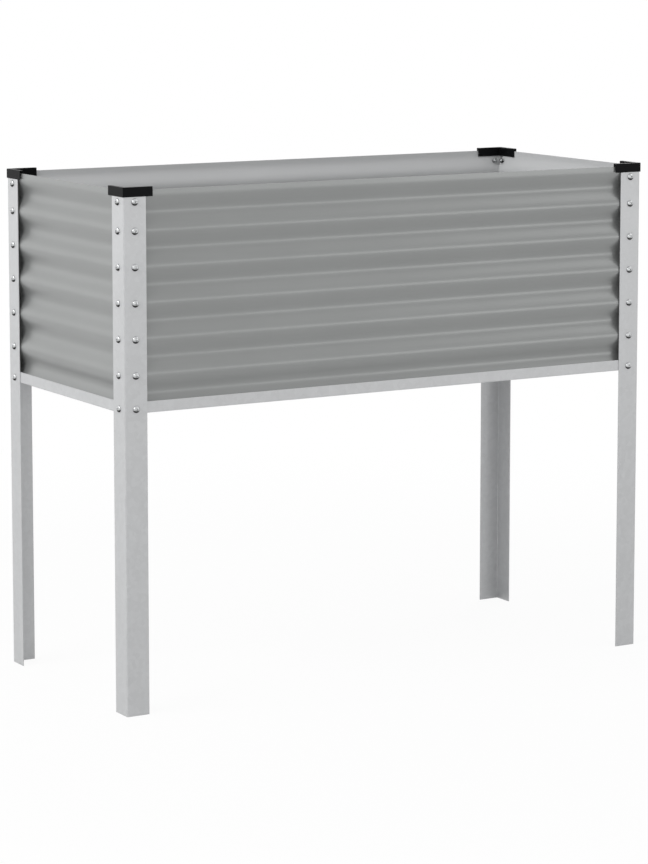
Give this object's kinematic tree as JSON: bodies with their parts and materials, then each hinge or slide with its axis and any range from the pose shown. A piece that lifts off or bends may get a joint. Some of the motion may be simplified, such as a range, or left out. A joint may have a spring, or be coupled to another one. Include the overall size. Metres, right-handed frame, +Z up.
{
  "type": "raised garden bed",
  "caption": "Raised garden bed: a tub of grey corrugated steel sheets on tall legs of galvanised steel angle, with black plastic corner caps and an open top.",
  "frame": {"origin": "on the ground, under the middle of the bed", "axes": "+X along the length, +Y from the front to the back, +Z up"},
  "size_m": [1.0074, 0.4434, 0.852],
  "materials": {
    "frame_steel": "satin galvanised",
    "panel_steel": "satin grey",
    "floor_steel": "satin galvanised",
    "screw_zinc": "bright zinc",
    "cap_plastic": "semi-gloss moulded"
  },
  "bodies": {
    "root": {"cap_back_left": "cap_plastic", "cap_back_right": "cap_plastic", "cap_front_left": "cap_plastic", "cap_front_right": "cap_plastic", "floor_pan_left": "floor_steel", "floor_pan_right": "floor_steel", "leg_back_left": "frame_steel", "leg_back_right": "frame_steel", "leg_front_left": "frame_steel", "leg_front_right": "frame_steel", "panel_back": "panel_steel", "panel_front": "panel_steel", "panel_left": "panel_steel", "panel_right": "panel_steel", "rail_back": "frame_steel", "rail_front": "frame_steel", "rail_left": "frame_steel", "rail_right": "frame_steel", "screw_back_left_end_1": "screw_zinc", "screw_back_left_end_2": "screw_zinc", "screw_back_left_end_4": "screw_zinc", "screw_back_left_end_6": "screw_zinc", "screw_back_left_end_7": "screw_zinc", "screw_back_left_side_1": "screw_zinc", "screw_back_left_side_2": "screw_zinc", "screw_back_left_side_4": "screw_zinc", "screw_back_left_side_6": "screw_zinc", "screw_back_left_side_7": "screw_zinc", "screw_back_right_end_1": "screw_zinc", "screw_back_right_end_2": "screw_zinc", "screw_back_right_end_4": "screw_zinc", "screw_back_right_end_6": "screw_zinc", "screw_back_right_end_7": "screw_zinc", "screw_back_right_side_1": "screw_zinc", "screw_back_right_side_2": "screw_zinc", "screw_back_right_side_4": "screw_zinc", "screw_back_right_side_6": "screw_zinc", "screw_back_right_side_7": "screw_zinc", "screw_front_left_end_1": "screw_zinc", "screw_front_left_end_2": "screw_zinc", "screw_front_left_end_4": "screw_zinc", "screw_front_left_end_6": "screw_zinc", "screw_front_left_end_7": "screw_zinc", "screw_front_left_side_1": "screw_zinc", "screw_front_left_side_2": "screw_zinc", "screw_front_left_side_4": "screw_zinc", "screw_front_left_side_6": "screw_zinc", "screw_front_left_side_7": "screw_zinc", "screw_front_right_end_1": "screw_zinc", "screw_front_right_end_2": "screw_zinc", "screw_front_right_end_4": "screw_zinc", "screw_front_right_end_6": "screw_zinc", "screw_front_right_end_7": "screw_zinc", "screw_front_right_side_1": "screw_zinc", "screw_front_right_side_2": "screw_zinc", "screw_front_right_side_4": "screw_zinc", "screw_front_right_side_6": "screw_zinc", "screw_front_right_side_7": "screw_zinc"}
  },
  "joints": []
}
